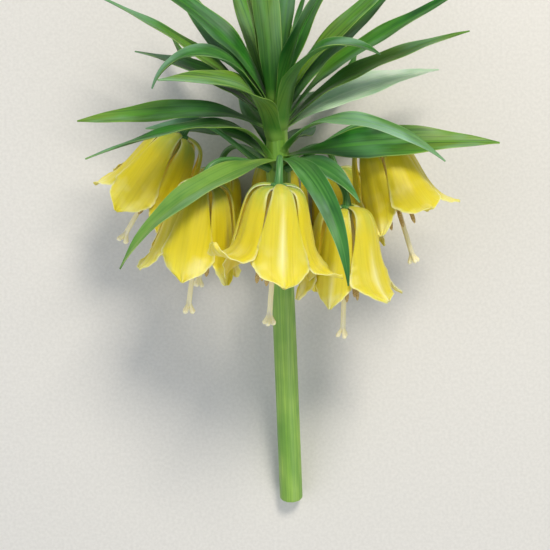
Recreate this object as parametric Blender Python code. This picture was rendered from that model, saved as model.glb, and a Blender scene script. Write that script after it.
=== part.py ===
"""Crown imperial fritillary: one cut flowering stem, laid on a table.

A stout stem carries a ring of hanging yellow bells on arched stalks, and above them a tuft of
long green leaves. Sizes below are in millimetres. The plant is modelled in its own frame and
laid down whole. In that frame X is to the right, Y runs up the stem from the foot of the
flower stalks to the crown, and Z faces away from the table. A bearing is the angle round the
stem: 0 faces away from the table and 90 is to the right.
"""

import math

import bmesh
import bpy
import numpy as np
from mathutils import Matrix, Vector

MM = 0.001
GAP = 0.35

# How the cut stem lies: its cut end, its lowest bells and some leaves touch the table, Z = 0.
LEAN = 17.0
UMBEL_AT = (-3.6, 40.37, 71.93)

# Stem: its half thickness at each height, and how far it bends to the right at the cut end.
STEM_RADIUS = (
    (-222, 7.4), (-120, 7.2), (-20, 6.9), (0, 7.3),
    (9, 6.6), (22, 6.3), (36, 5.0), (48, 2.4),
)
STEM_BEND = 9.0
STEM_SIDES = 14

# Bells: six petals of one length, three outer and three inner, hung from a small receptacle.
PETAL_LENGTH = 65.0
PETAL_THICK = 0.8
PETAL_LAYER = 0.7
OUTER_HALF_WIDTH = (
    (0, 2.0), (0.1, 4.4), (0.25, 6.9), (0.45, 9.9),
    (0.62, 13.2), (0.76, 15.9), (0.88, 11.2), (1, 0.7),
)
INNER_HALF_WIDTH = (
    (0, 2.0), (0.1, 4.6), (0.3, 8.0), (0.55, 10.0),
    (0.73, 12.2), (0.87, 8.8), (1, 0.7),
)
RECEPTACLE = (4.2, 2.8)
# The angle between a petal's midline and the bell's axis, from its root to its tip.
PETAL_SLOPE = ((0, 94), (0.08, 86), (0.15, 58), (0.22, 30), (0.32, 16), (0.5, 11), (0.72, 10), (1, 17))
# How round a petal is across: its radius over its distance from the axis.
PETAL_CURVE = ((0, 1.0), (0.12, 0.75), (0.3, 0.72), (0.55, 0.92), (0.8, 1.25), (1, 1.5))
PETAL_ROWS = (0, 0.09, 0.18, 0.3, 0.52, 0.73, 0.88, 1)
PETAL_CELLS_ACROSS = 3

# Each bell: where its stalk joins it, its lean to the right and to the front, its turn about
# its own axis, how wide it opens, and how far each petal curls out, from the front one round by
# the left.
BELLS = (
    ((0, 0, 62), (-4, 7), -10, 0.0, (38, 156, 4, 0, 2, 74)),
    ((39, -18.5, 33.5), (-1, 5), -38, 0.0, (50, 0, 0, 0, 0, 40)),
    ((-42, -5, 30), (-8, 6), 8, 0.0, (0, 30, 22, 0, 0, 0)),
    ((58.5, 14, -2), (18, 12), -26, 0.0, (60, 0, 0, 0, 26, 50)),
    ((-57, 16, -6), (-31, -2), 24, 0.0, (6, 24, 36, 2, 0, 2)),
    ((37, -13, -51.5), (10.5, 17), 10, -3.0, (0, 0, 0, 0, 2, 0)),
    ((-38, -14, -52), (-11, 17), -10, -2.0, (0, 2, 4, 0, 0, 0)),
    ((0, -8, -51), (0, 18), 33, -5.4, (0, 0, 0, 0, 0, 0)),
)
STALK_FOOT = -1.5
STALK_RADIUS = (1.9, 1.7, 2.1)

# Style and stamens in each bell.
STYLE_LENGTH = 76.0
FILAMENT_LENGTH = 52.0

# Leaves: width over half the greatest width, from the foot to the tip.
LEAF_THICK = 0.9
LEAF_OUTLINE = (
    (0, 0.34), (0.12, 0.56), (0.3, 0.92), (0.42, 1.0),
    (0.62, 0.88), (0.82, 0.5), (1, 0.05),
)
LEAF_CHANNEL = 0.30
LEAF_CELLS = (8, 2)
# Each leaf: its bearing and height on the stem, its length and width, how steeply it rises at
# its foot, at a third and at its tip, how far it swings round, and how far its blade rolls.
CROWN_LEAVES = (
    (-90, 21.0, 112, 17, (30, 4, -6), 0, -30),
    (117, 21.8, 112, 20.5, (32, 18, 5), 0, 40),
    (-170, 22.5, 112, 19, (40, 8, 58), 0, 0),
    (150, 24.0, 112, 19, (38, -2, 62), 0, 0),
    (-138, 24.5, 110, 18, (40, 12, 55), 0, 0),
    (-108, 27.0, 92, 17, (50, 28, 10), 0, -30),
    (-24, 17.5, 97, 25, (78, 33, 0), -42, -30),
    (85, 26.5, 128, 17, (60, 38, 30), 2, 25),
    (28, 23.0, 96, 21, (80, 56, -26), 34, 30),
    (176, 30.0, 100, 17, (60, 40, 50), 0, 0),
    (122, 31.0, 115, 15, (55, 42, 35), 0, 30),
    (-122, 33.0, 105, 16, (60, 42, 68), 0, -30),
    (-56, 30.0, 92, 20, (62, 46, -68), -20, -25),
    (102, 35.0, 110, 12, (68, 48, 42), 0, 30),
    (-98, 37.5, 112, 17, (68, 48, 24), -2, -35),
    (-153, 36.0, 100, 16, (72, 54, 50), 0, -10),
    (-178, 43.5, 95, 15, (78, 62, 46), 0, 0),
    (138, 39.0, 98, 13, (74, 58, 48), -4, 10),
    (26, 36.0, 90, 14, (78, 66, 50), 50, 20),
    (84, 42.0, 88, 13, (82, 76, 78), 0, 0),
    (-112, 42.0, 88, 12, (80, 76, 72), 0, 0),
    (-24, 39.0, 100, 17, (84, 80, 84), -20, 0),
    (-97, 28.3, 122, 12, (52, 38, 24), 0, -25),
    (102, 23.5, 124, 13, (48, 29, 13), 0, 30),
    (30, 44.0, 90, 13, (86, 80, 74), 10, 0),
)
UMBEL_LEAVES = (
    (-24, 3.5, 126, 17, (8, -10, -62), -70, -20),
    (17, 3.5, 114, 12.5, (17, -12, -86), 20, 30),
    (38, 2.5, 60, 15, (16, -4, -52), 26, 25),
    (40, 10.0, 112, 12, (50, 16, -38), 36, 20),
    (70, 5.5, 122, 21.5, (15, 8, -2), 18, 55),
    (-45, 5.5, 122, 12, (58, 12, -20), -30, -20),
    (-118, 4.0, 90, 16, (40, 12, -10), 0, -20),
    (158, 5.0, 60, 13, (40, 4, 10), 0, 0),
    (-160, 5.0, 75, 14, (45, 20, 40), 0, 0),
)


def plant_frame():
    """From the upright plant's frame to the table's, in metres."""
    return Matrix.Translation(Vector(UMBEL_AT) * MM) @ Matrix.Rotation(math.radians(LEAN), 4, "X")


def through(points, at):
    """A smooth curve through (place, value) points, read at one place."""
    places = [p for p, _ in points]
    values = [v for _, v in points]
    at = min(max(at, places[0]), places[-1])
    i = max(k for k in range(len(places) - 1) if places[k] <= at)
    slopes = np.gradient(values, places)
    span = places[i + 1] - places[i]
    t = (at - places[i]) / span
    return (
        (1 + 2 * t) * (1 - t) ** 2 * values[i]
        + t * (1 - t) ** 2 * span * slopes[i]
        + t * t * (3 - 2 * t) * values[i + 1]
        - t * t * (1 - t) * span * slopes[i + 1]
    )


def clear_of_table(height, rest):
    """A soft blade pressed on the table lies along it, its middle at the height of rest."""
    give = 1.2
    over = (height - rest) / give
    return rest + give * math.log1p(math.exp(over)) if over < 30 else height


def material(name, colour, roughness):
    made = bpy.data.materials.new(name)
    made.use_nodes = True
    shader = made.node_tree.nodes["Principled BSDF"]
    shader.inputs["Base Color"].default_value = (*colour, 1)
    shader.inputs["Roughness"].default_value = roughness
    shader.inputs["Metallic"].default_value = 0.0
    made.diffuse_color = (*colour, 1)
    return made


def add(name, mesh, frame, finish, parent):
    obj = bpy.data.objects.new(name, mesh)
    bpy.context.scene.collection.objects.link(obj)
    obj.parent = parent
    obj.matrix_parent_inverse = parent.matrix_world.inverted()
    obj.matrix_world = frame
    mesh.materials.append(finish)
    return obj


def apply_modifiers(obj):
    graph = bpy.context.evaluated_depsgraph_get()
    made = bpy.data.meshes.new_from_object(obj.evaluated_get(graph))
    obj.modifiers.clear()
    obj.data = made


def unite(obj, others):
    """Joins the others to obj in one Boolean union, then removes them."""
    group = bpy.data.collections.new(obj.name + "_parts")
    bpy.context.scene.collection.children.link(group)
    for other in others:
        group.objects.link(other)
    union = obj.modifiers.new("Union", "BOOLEAN")
    union.operation = "UNION"
    union.operand_type = "COLLECTION"
    union.collection = group
    union.solver = "EXACT"
    apply_modifiers(obj)
    for other in others:
        bpy.data.objects.remove(other)
    bpy.data.collections.remove(group)


def blade(name, rows, frame, thick, rest, finish, parent):
    """A thin closed blade from rows of points across it, split into triangles alike on both faces."""
    shape = bmesh.new()
    back = frame.inverted()
    grid = []
    for row in rows:
        line = []
        for point in row:
            placed = frame @ (Vector(point) * MM)
            placed.z = clear_of_table(placed.z / MM, rest) * MM
            line.append(shape.verts.new(back @ placed))
        grid.append(line)
    for lower, upper in zip(grid, grid[1:]):
        for k in range(len(lower) - 1):
            a, b, c, d = lower[k], lower[k + 1], upper[k + 1], upper[k]
            if 2 * k + 1 < len(lower):
                shape.faces.new((a, b, c))
                shape.faces.new((a, c, d))
            else:
                shape.faces.new((a, b, d))
                shape.faces.new((b, c, d))
    mesh = bpy.data.meshes.new(name)
    shape.to_mesh(mesh)
    shape.free()
    obj = add(name, mesh, frame, finish, parent)
    solid = obj.modifiers.new("Thickness", "SOLIDIFY")
    solid.thickness = thick * MM
    solid.offset = 0.0
    obj.modifiers.new("Split rim", "TRIANGULATE")
    apply_modifiers(obj)
    return obj


def tube(name, centres, radii, sides, frame, finish, parent):
    """A closed round body along a line of centres, with flat ends."""
    shape = bmesh.new()
    centres = [Vector(c) for c in centres]
    rings = []
    side = None
    for i, centre in enumerate(centres):
        ahead = (centres[min(i + 1, len(centres) - 1)] - centres[max(i - 1, 0)]).normalized()
        if side is None:
            side = ahead.orthogonal().normalized()
        side = (side - ahead * side.dot(ahead)).normalized()
        other = ahead.cross(side)
        ring = []
        for k in range(sides):
            turn = 2 * math.pi * k / sides
            offset = side * math.cos(turn) + other * math.sin(turn)
            ring.append(shape.verts.new((centre + offset * radii[i]) * MM))
        rings.append(ring)
    for lower, upper in zip(rings, rings[1:]):
        for k in range(sides):
            n = (k + 1) % sides
            shape.faces.new((lower[k], lower[n], upper[n], upper[k]))
    shape.faces.new(list(reversed(rings[0])))
    shape.faces.new(rings[-1])
    mesh = bpy.data.meshes.new(name)
    shape.to_mesh(mesh)
    shape.free()
    mesh.shade_smooth()
    mesh.set_sharp_from_angle(angle=math.radians(50))
    return add(name, mesh, frame, finish, parent)


def stem_centre(height):
    """The stem's middle line, which bends to the right toward the cut end."""
    low = STEM_RADIUS[0][0]
    return Vector((STEM_BEND * height / low, height, 0))


def build_stem(plant, finish):
    places = (-222, -180, -130, -80, -40, -14, 0, 9, 22, 30, 38, 44, 48)
    centres = [stem_centre(y) for y in places]
    radii = [through(STEM_RADIUS, y) for y in places]
    return tube("stem", centres, radii, STEM_SIDES, plant.matrix_world, finish, plant)


def bell_frame(plant, place, lean, turn):
    """Z runs from the receptacle to the mouth, and X is the bell's own front."""
    axis = Vector((math.tan(math.radians(lean[0])), -1.0, math.tan(math.radians(lean[1])))).normalized()
    front = Vector((0, 0, 1))
    front = (front - axis * front.dot(axis)).normalized()
    side = axis.cross(front)
    frame = Matrix((front, side, axis)).transposed().to_4x4()
    frame.translation = Vector(place) * MM
    return plant.matrix_world @ frame @ Matrix.Rotation(math.radians(turn), 4, "Z")


def petal_rows(outer, curl, opening, wave):
    """Rows of points across one petal that hangs at the bell's front."""
    across = PETAL_CELLS_ACROSS
    widths = OUTER_HALF_WIDTH if outer else INNER_HALF_WIDTH
    layer = PETAL_LAYER if outer else -PETAL_LAYER
    steps = 48
    step = PETAL_LENGTH / steps
    reach, depth = 2.6, 0.0
    line = [(reach, depth, math.radians(PETAL_SLOPE[0][1]))]
    for k in range(steps):
        t = (k + 0.5) / steps
        late = max(0.0, (t - 0.5) / 0.5)
        slope = through(PETAL_SLOPE, t) + opening * min(t * 4, 1) + curl * late ** 1.5
        slope = math.radians(slope)
        reach += step * math.sin(slope)
        depth += step * math.cos(slope)
        line.append((reach, depth, slope))
    rows = []
    for t in PETAL_ROWS:
        reach, depth, slope = line[round(t * steps)]
        half = through(widths, t)
        round_by = max(reach, 4.0) * through(PETAL_CURVE, t)
        row = []
        for j in range(across + 1):
            w = 2 * j / across - 1
            angle = w * half / round_by
            out = round_by * (math.cos(angle) - 1)
            loose = max(0.0, (t - 0.55) / 0.45)
            ripple = 1.6 * loose * w * w * math.sin(6.3 * (2.2 * t + wave) + 1.5 * w)
            lift = layer + ripple
            x = reach + out * math.cos(slope) + lift * math.cos(slope)
            z = depth - out * math.sin(slope) - lift * math.sin(slope)
            y = round_by * math.sin(angle)
            row.append((x, y, z))
        rows.append(row)
    return rows


def build_bell(number, plant, finishes):
    place, lean, turn, opening, curls = BELLS[number]
    frame = bell_frame(plant, place, lean, turn)
    radius, height = RECEPTACLE
    centres = ((0, 0, -height / 2), (0, 0, height / 2))
    bell = tube(f"bloom_{number + 1}", centres, (radius, radius), 12, frame, finishes["petal"], plant)
    petals = []
    for k, curl in enumerate(curls):
        outer = k % 2 == 0
        turned = frame @ Matrix.Rotation(math.radians(60 * k), 4, "Z")
        rows = petal_rows(outer, curl, opening, 0.37 * k + 0.21 * number)
        rest = PETAL_THICK / 2 + (0.1 if outer else 1.4)
        petals.append(blade(f"petal_{k}", rows, turned, PETAL_THICK, rest, finishes["petal"], plant))
    unite(bell, petals)
    return bell


def build_stamens(number, plant, finishes):
    place, lean, turn, _, _ = BELLS[number]
    frame = bell_frame(plant, place, lean, turn)
    top = RECEPTACLE[1] / 2 + GAP
    name = f"stamens_and_style_{number + 1}"
    depths = (top, top + 10, top + 15, STYLE_LENGTH - 5)
    line = [(0, 0, d) for d in depths]
    column = tube(name, line, (2.7, 2.4, 1.3, 1.5), 6, frame, finishes["style"], plant)
    parts = []
    for k in range(3):
        turn = math.radians(120 * k + 20)
        across = Vector((math.cos(turn), math.sin(turn), 0))
        spots = ((0.4, -7), (1.6, -3), (3.4, 0.5))
        centres = [across * r + Vector((0, 0, STYLE_LENGTH + d)) for r, d in spots]
        parts.append(tube(f"lobe_{k}", centres, (0.9, 1.2, 0.8), 4, frame, finishes["style"], plant))
    for k in range(6):
        turn = math.radians(60 * k + 30)
        across = Vector((math.cos(turn), math.sin(turn), 0))
        spots = ((1.9, 2.4), (6.8, 26), (7.6, 43), (8.2, FILAMENT_LENGTH))
        centres = [across * r + Vector((0, 0, top + d)) for r, d in spots]
        radii = (0.8, 0.7, 1.3, 1.1)
        parts.append(tube(f"filament_{k}", centres, radii, 3, frame, finishes["style"], plant))
    unite(column, parts)
    return column


def build_stalk(number, plant, finish):
    """An arched flower stalk, from the stem out and over to the top of its bell."""
    place, lean, turn, _, _ = BELLS[number]
    frame = plant.matrix_world.inverted() @ bell_frame(plant, place, lean, turn)
    axis = frame.to_3x3() @ Vector((0, 0, 1))
    end = Vector(place) - axis * (RECEPTACLE[1] / 2 + GAP)
    outward = Vector((place[0], 0, place[2])).normalized()
    start = stem_centre(STALK_FOOT) + outward * (through(STEM_RADIUS, STALK_FOOT) + GAP)
    rise = Vector((0, 1, 0))
    far = (end - start).length
    first = start + outward * 0.3 * far + rise * 0.12 * far
    last = end - axis * 0.42 * far
    centres = [start, start + outward * 0.8]
    radii = [STALK_RADIUS[0], STALK_RADIUS[0]]
    cells = 7
    for i in range(1, cells):
        t = i / cells
        s = 1 - t
        centres.append(start * s**3 + first * 3 * s * s * t + last * 3 * s * t * t + end * t**3)
        radii.append(STALK_RADIUS[1])
    centres += [end - axis * 0.8, end]
    radii += [STALK_RADIUS[2], STALK_RADIUS[2]]
    return tube(f"flower_stalk_{number + 1}", centres, radii, 6, plant.matrix_world, finish, plant)


def leaf_rows(length, width, rises, swing, roll, cells):
    """Rows of points across one leaf. Z is straight out from the stem and Y is up it."""
    along, across = cells
    steps = 60
    spot = Vector((0, 0, 0))
    line = []
    rise_at = ((0, rises[0]), (0.3, rises[1]), (1, rises[2]))
    for k in range(steps + 1):
        t = k / steps
        rise = math.radians(through(rise_at, t))
        turn = math.radians(swing * t)
        side = Vector((math.cos(turn), 0, -math.sin(turn)))
        level = Vector((math.sin(turn), 0, math.cos(turn)))
        ahead = level * math.cos(rise) + Vector((0, math.sin(rise), 0))
        line.append((spot.copy(), ahead, side))
        spot += ahead * length / steps
    rows = []
    for i in range(along + 1):
        t = i / along
        spot, ahead, side = line[round(t * steps)]
        face = ahead.cross(side)
        turn = math.radians(roll * min(1.0, t / 0.4))
        side = side * math.cos(turn) + face * math.sin(turn)
        face = ahead.cross(side)
        half = through(LEAF_OUTLINE, t) * width / 2
        channel = LEAF_CHANNEL * min(1.0, 0.3 + 2 * t)
        row = []
        for j in range(across + 1):
            w = 2 * j / across - 1
            row.append(spot + side * (w * half) + face * (channel * half * abs(w) ** 1.3))
        rows.append(row)
    return rows


def build_leaf(name, bearing, height, length, width, rises, swing, roll, plant, finish):
    slope = math.radians(rises[0])
    out = through(STEM_RADIUS, height) + GAP + LEAF_THICK / 2 * math.sin(slope) + 0.05
    turned = Matrix.Rotation(math.radians(bearing), 4, "Y")
    foot = stem_centre(height) + turned @ Vector((0, 0, out))
    frame = plant.matrix_world @ Matrix.Translation(foot * MM) @ turned
    rows = leaf_rows(length, width, rises, swing, roll, LEAF_CELLS)
    return blade(name, rows, frame, LEAF_THICK, LEAF_THICK / 2, finish, plant)


def build():
    for old in list(bpy.data.objects):
        bpy.data.objects.remove(old)
    plant = bpy.data.objects.new("plant", None)
    bpy.context.scene.collection.objects.link(plant)
    plant.matrix_world = plant_frame()
    bpy.context.view_layer.update()
    finishes = {
        "stem": material("Stem green", (0.22, 0.36, 0.09), 0.5),
        "stalk": material("Flower stalk green", (0.10, 0.26, 0.10), 0.5),
        "petal": material("Petal yellow", (0.85, 0.66, 0.03), 0.55),
        "style": material("Style cream", (0.80, 0.70, 0.42), 0.6),
        "crown": material("Crown leaf green", (0.07, 0.23, 0.05), 0.4),
        "umbel": material("Umbel leaf green", (0.09, 0.26, 0.07), 0.4),
    }
    build_stem(plant, finishes["stem"])
    for number in range(len(BELLS)):
        build_bell(number, plant, finishes)
        build_stamens(number, plant, finishes)
        build_stalk(number, plant, finishes["stalk"])
    for number, leaf in enumerate(CROWN_LEAVES, 1):
        build_leaf(f"crown_leaf_{number:02d}", *leaf, plant, finishes["crown"])
    for number, leaf in enumerate(UMBEL_LEAVES, 1):
        build_leaf(f"umbel_leaf_{number}", *leaf, plant, finishes["umbel"])


build()
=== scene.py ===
"""Crown imperial fritillary: the looks of one cut flowering stem, laid on a table.

Sizes are in millimetres and angles in degrees unless a line says otherwise. The plant is shaped in
its own frame, X to the right, Y up the stem and Z away from the table, and laid down whole, so
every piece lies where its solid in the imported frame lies.
"""

import math

import bpy
import numpy as np
from mathutils import Matrix, Vector


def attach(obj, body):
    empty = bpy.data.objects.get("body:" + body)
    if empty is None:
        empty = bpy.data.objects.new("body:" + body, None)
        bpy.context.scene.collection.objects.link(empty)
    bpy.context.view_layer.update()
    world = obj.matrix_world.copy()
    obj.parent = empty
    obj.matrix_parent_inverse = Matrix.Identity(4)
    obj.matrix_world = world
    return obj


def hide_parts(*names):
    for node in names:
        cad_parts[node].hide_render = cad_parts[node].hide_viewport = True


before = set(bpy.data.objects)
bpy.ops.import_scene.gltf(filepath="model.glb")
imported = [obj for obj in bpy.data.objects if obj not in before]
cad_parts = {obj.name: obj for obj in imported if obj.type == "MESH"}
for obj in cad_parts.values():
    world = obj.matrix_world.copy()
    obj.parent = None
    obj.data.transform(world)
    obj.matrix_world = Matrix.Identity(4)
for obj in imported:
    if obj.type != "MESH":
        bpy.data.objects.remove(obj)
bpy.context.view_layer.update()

# ---------------------------------------------------------------- table, light and camera
# The cut stem lies on a pale painted board under plain soft light. The strongest light comes
# from the crown's side and a little from the right, as the sun stands over a growing plant.
MM = 0.001
# The umbel is the ring where the flower stalks leave the stem, and the camera is placed from it.
UMBEL_AT = (-3.6, 40.37, 71.93)
CAMERA_FROM_UMBEL = (-1.8, -66.0, 594.0)
SENSOR_WIDTH = 36.0
FOCAL_SHARE = 1000 / 550
# The board reaches this far each way, in metres, and lies this far under the plant.
BOARD_REACH = 4.0
BOARD_DROP = 0.2
SKY_STRENGTH = 0.5
# Each light: its place from the umbel and its side in metres, its watts and its colour.
LIGHTS = (
    ("sun_side", (0.28, 0.62, 0.95), 0.35, 11.8, "#FFF8EC"),
    ("left_fill", (-0.8, -0.25, 0.7), 0.9, 3.7, "#F2F5FF"),
    ("low_fill", (0.5, -0.8, 0.5), 0.9, 3.5, "#FFFFFF"),
)


def linear(code):
    """An sRGB hex colour as linear red, green, blue and alpha."""
    shares = [int(code[i : i + 2], 16) / 255 for i in (1, 3, 5)]
    return (*[s / 12.92 if s <= 0.04045 else ((s + 0.055) / 1.055) ** 2.4 for s in shares], 1.0)


def node(finish, kind, inputs=None, stops=(), **settings):
    """Adds one node to a finish: its settings, its ramp's stops, and its inputs, filled or linked.

    Inputs go by name, or by number where names repeat: a Mix takes its share at 0 and its two
    colours at 6 and 7.
    """
    made = finish.node_tree.nodes.new("ShaderNode" + kind)
    for key, value in settings.items():
        setattr(made, key, value)
    for i, (place, colour) in enumerate(stops):
        ends = made.color_ramp.elements
        stop = ends[-1] if i == len(stops) - 1 else ends[0] if i == 0 else ends.new(place)
        stop.position = place
        stop.color = linear(colour) if isinstance(colour, str) else (colour, colour, colour, 1.0)
    for key, value in (inputs or {}).items():
        if isinstance(value, bpy.types.NodeSocket):
            finish.node_tree.links.new(value, made.inputs[key])
        else:
            made.inputs[key].default_value = value
    return made


def new_finish(name):
    """An empty material."""
    finish = bpy.data.materials.new(name)
    finish.use_nodes = True
    finish.node_tree.nodes.clear()
    return finish


# Painted board: a matt white paint, its roller grain about 2 mm across and barely raised.
board = new_finish("painted_board")
place = node(board, "TexCoord")
grain = node(
    board, "TexNoise", {"Vector": place.outputs["Object"], "Scale": 1 / (2 * MM), "Detail": 3.0}
)
tint = node(board, "ValToRGB", {0: grain.outputs[0]}, stops=((0.35, "#CFCCC5"), (0.65, "#D6D3CC")))
relief = node(board, "Bump", {"Height": grain.outputs[0], "Strength": 0.15, "Distance": 0.1 * MM})
paint = node(
    board,
    "BsdfPrincipled",
    {"Base Color": tint.outputs[0], "Roughness": 0.7, "Normal": relief.outputs[0]},
)
node(board, "OutputMaterial", {"Surface": paint.outputs[0]})

floor_mesh = bpy.data.meshes.new("floor")
corners = ((-1, -1), (1, -1), (1, 1), (-1, 1))
corners = [(x * BOARD_REACH, y * BOARD_REACH, 0) for x, y in corners]
floor_mesh.from_pydata(corners, [], [(0, 1, 2, 3)])
floor_mesh.materials.append(board)
floor = bpy.data.objects.new("floor", floor_mesh)
floor.location.z = -BOARD_DROP * MM
bpy.context.scene.collection.objects.link(floor)

sky = bpy.data.worlds.new("soft_sky")
sky.use_nodes = True
sky.node_tree.nodes["Background"].inputs["Color"].default_value = linear("#DCE6F2")
sky.node_tree.nodes["Background"].inputs["Strength"].default_value = SKY_STRENGTH
bpy.context.scene.world = sky

umbel = Vector(UMBEL_AT) * MM
for name, spot, side, watts, colour in LIGHTS:
    light = bpy.data.lights.new(name, "AREA")
    light.size = side
    light.energy = watts
    light.color = linear(colour)[:3]
    lamp = bpy.data.objects.new(name, light)
    lamp.location = umbel + Vector(spot)
    lamp.rotation_euler = Vector(spot).to_track_quat("Z", "Y").to_euler()
    bpy.context.scene.collection.objects.link(lamp)

lens = bpy.data.cameras.new("above")
lens.sensor_width = SENSOR_WIDTH
lens.lens = lens.sensor_width * FOCAL_SHARE
lens.clip_start = 0.01
camera = bpy.data.objects.new("above", lens)
camera.location = umbel + Vector(CAMERA_FROM_UMBEL) * MM
bpy.context.scene.collection.objects.link(camera)
bpy.context.scene.camera = camera
bpy.context.scene.view_settings.view_transform = "Standard"

# ---------------------------------------------------------------- stem
# The stem is a stout round stalk, firm and full of sap, with faint ribs along it. It was cut with
# a knife, so its end shows a flat pale pith with a ring of darker vessels under the skin.
LEAN = 17.0
# The stem's radius at each height over the umbel, from the cut end to the tip inside the crown.
STEM_RADIUS = (
    (-222, 7.4), (-120, 7.2), (-20, 6.9), (0, 7.3), (9, 6.6), (22, 6.3), (36, 5.0), (48, 2.4),
)
STEM_BEND = 9.0
STEM_ROWS = 121
STEM_SIDES = 44
# Ribs: how many run along a piece, and how far they stand as a share of its radius.
STEM_RIBS = (11, 0.012)
# The knife leaves a small bevel round the cut: its height along the stem and its depth.
CUT_BEVEL = (0.5, 0.4)
# The map over a flat end takes in this many millimetres.
END_MAP = 20

plant = Matrix.Translation(umbel) @ Matrix.Rotation(math.radians(LEAN), 4, "X")


def through(points, at):
    """A smooth curve through (place, value) points, read at one place or at many."""
    places, values = np.array(points, float).T
    slopes = np.gradient(values, places)
    at = np.clip(at, places[0], places[-1])
    i = np.clip(np.searchsorted(places, at, side="right") - 1, 0, len(places) - 2)
    span = places[i + 1] - places[i]
    t = (at - places[i]) / span
    return (
        (1 + 2 * t) * (1 - t) ** 2 * values[i]
        + t * (1 - t) ** 2 * span * slopes[i]
        + t * t * (3 - 2 * t) * values[i + 1]
        - t * t * (1 - t) * span * slopes[i + 1]
    )


def placed(points, spot):
    """Points in millimetres in a frame, as points on the table in metres."""
    matrix = np.array(spot)
    return np.asarray(points, float) * MM @ matrix[:3, :3].T + matrix[:3, 3]


def stem_centre(height):
    """The stem's middle line, which bends to the right toward the cut end."""
    return Vector((STEM_BEND * height / STEM_RADIUS[0][0], height, 0))


def tube(centres, radii, sides, spot, slot=0, ribs=(0, 0.0), shift=0.0):
    """A round body along a line of centres: its points, faces, their maps and finish numbers."""
    centres = np.asarray(centres, float)
    ahead = np.gradient(centres, axis=0)
    ahead /= np.linalg.norm(ahead, axis=1)[:, None]
    turns = 2 * np.pi * np.arange(sides) / sides
    profile = 1 + ribs[1] * np.cos(ribs[0] * turns)
    side = np.array(Vector(ahead[0]).orthogonal().normalized())
    rings = []
    for centre, forward, radius in zip(centres, ahead, radii):
        side = side - forward * side.dot(forward)
        side /= np.linalg.norm(side)
        other = np.cross(forward, side)
        offset = np.outer(np.cos(turns) * profile, side) + np.outer(np.sin(turns) * profile, other)
        rings.append(centre + offset * radius)
    rows = len(rings)
    points = np.concatenate(rings + [centres[:1], centres[-1:]])
    along = np.concatenate([[0], np.cumsum(np.linalg.norm(np.diff(centres, axis=0), axis=1))])
    around = 2 * np.pi * np.max(radii)
    faces, blade, grain, slots = [], [], [], []
    for i in range(rows - 1):
        for k in range(sides):
            n = (k + 1) % sides
            faces.append((i * sides + k, i * sides + n, (i + 1) * sides + n, (i + 1) * sides + k))
            for step, row in ((k, i), (k + 1, i), (k + 1, i + 1), (k, i + 1)):
                blade.append((step / sides, along[row] / along[-1]))
                grain.append((step / sides * around + shift, along[row] + shift))
            slots.append(slot)
    for end, row, flip in ((rows * sides, 0, True), (rows * sides + 1, rows - 1, False)):
        for k in range(sides):
            n = (k + 1) % sides
            pair = (n, k) if flip else (k, n)
            faces.append((end, row * sides + pair[0], row * sides + pair[1]))
            for corner in (None, *pair):
                x = 0.0 if corner is None else radii[row] * math.cos(turns[corner])
                y = 0.0 if corner is None else radii[row] * math.sin(turns[corner])
                blade.append((0.5 + x / END_MAP, 0.5 + y / END_MAP))
                grain.append((x, y))
            slots.append(slot)
    return placed(points, spot), faces, blade, grain, slots


def build_piece(name, parts, finishes, sharp=55.0):
    """One mesh from several parts, with a map over each part's outline and one in millimetres."""
    points, faces, blade, grain, slots = [], [], [], [], []
    first = 0
    for part in parts:
        points.append(part[0])
        faces += [tuple(corner + first for corner in face) for face in part[1]]
        blade += list(part[2])
        grain += list(part[3])
        slots += list(part[4])
        first += len(part[0])
    mesh = bpy.data.meshes.new(name)
    mesh.from_pydata(np.concatenate(points).tolist(), [], faces)
    for title, values in (("Blade", blade), ("Grain", grain)):
        layer = mesh.uv_layers.new(name=title)
        layer.data.foreach_set("uv", np.array(values, np.float32).ravel())
    mesh.polygons.foreach_set("material_index", slots)
    for finish in finishes:
        mesh.materials.append(finish)
    mesh.shade_smooth()
    mesh.set_sharp_from_angle(angle=math.radians(sharp))
    made = bpy.data.objects.new(name, mesh)
    bpy.context.scene.collection.objects.link(made)
    return made


# Stem skin: smooth and waxy, light yellow-green with darker threads about 1.1 mm apart running
# its length, and slow patches about 30 mm long where the green deepens.
stem_skin = new_finish("stem_skin")
place = node(stem_skin, "UVMap", uv_map="Grain")
threads = node(stem_skin, "Mapping", {"Vector": place.outputs[0], "Scale": (1 / 1.1, 1 / 45, 1)})
lines = node(stem_skin, "TexNoise", {"Vector": threads.outputs[0], "Scale": 1.0, "Detail": 3.0})
patches = node(stem_skin, "TexNoise", {"Vector": place.outputs[0], "Scale": 1 / 30, "Detail": 2.0})
ground = node(
    stem_skin, "ValToRGB", {0: patches.outputs[0]}, stops=((0.35, "#75A23A"), (0.65, "#9ABE50"))
)
dark = node(stem_skin, "ValToRGB", {0: lines.outputs[0]}, stops=((0.4, 0.45), (0.62, 0.0)))
colour = node(
    stem_skin,
    "Mix",
    {0: dark.outputs[0], 6: ground.outputs[0], 7: linear("#4F7E2C")},
    data_type="RGBA",
)
relief = node(
    stem_skin, "Bump", {"Height": lines.outputs[0], "Strength": 0.35, "Distance": 0.25 * MM}
)
skin = node(
    stem_skin,
    "BsdfPrincipled",
    {
        "Base Color": colour.outputs[2],
        "Roughness": 0.42,
        "Subsurface Weight": 0.15,
        "Subsurface Radius": (1.0, 0.9, 0.3),
        "Subsurface Scale": 2 * MM,
        "Normal": relief.outputs[0],
    },
)
node(stem_skin, "OutputMaterial", {"Surface": skin.outputs[0]})

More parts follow.
